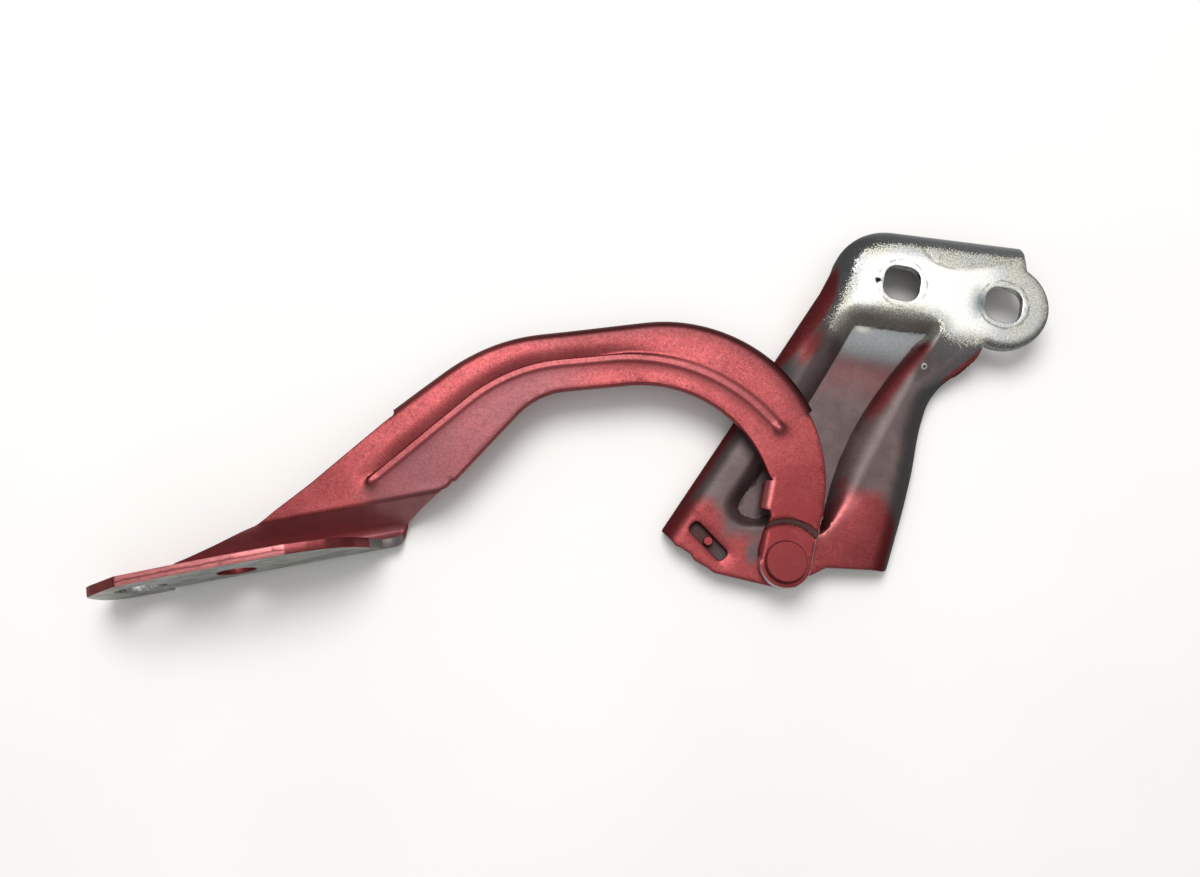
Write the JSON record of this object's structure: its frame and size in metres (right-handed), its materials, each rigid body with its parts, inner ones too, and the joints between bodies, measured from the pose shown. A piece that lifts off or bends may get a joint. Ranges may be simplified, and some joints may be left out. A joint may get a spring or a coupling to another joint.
{
  "type": "bonnet hinge",
  "caption": "Pressed-steel bonnet hinge: a gooseneck arm with a folded bonnet flange turns on a riveted pivot of a recessed body bracket with rounded-square bolt holes",
  "frame": {"origin": "on the bracket's mating face, midway between its two body bolt holes", "axes": "+Z is the outward normal of the mating face, +X runs from the left body bolt hole to the right one, +Y away from the pivot; the hinge axis is parallel to Z"},
  "size_m": [0.3036, 0.199, 0.033],
  "materials": {
    "bracket_paint": "metallic red overspray over grey primer, bare zinc on the mating face",
    "arm_paint": "metallic red paint, bare zinc on the bonnet flange face",
    "rivet_paint": "metallic red paint on the head, bare steel tail",
    "bush_bronze": "bronze-backed bearing liner",
    "washer_dark": "dark phosphated steel",
    "washer_steel": "zinc plated",
    "peg_paint": "metallic red paint"
  },
  "bodies": {
    "bracket": {"body_bracket": "bracket_paint", "pivot_rivet": "rivet_paint", "head_washer": "washer_dark", "tail_washer": "washer_steel", "locating_peg": "peg_paint"},
    "arm": {"bonnet_arm": "arm_paint", "pivot_bush": "bush_bronze"}
  },
  "joints": [
    {"name": "arm_swing", "type": "hinge", "parent": "bracket", "child": "arm", "pos_m": [-0.041, -0.1085, 0], "axis": [0, 0, 1], "range_deg": [-13, 21]}
  ]
}
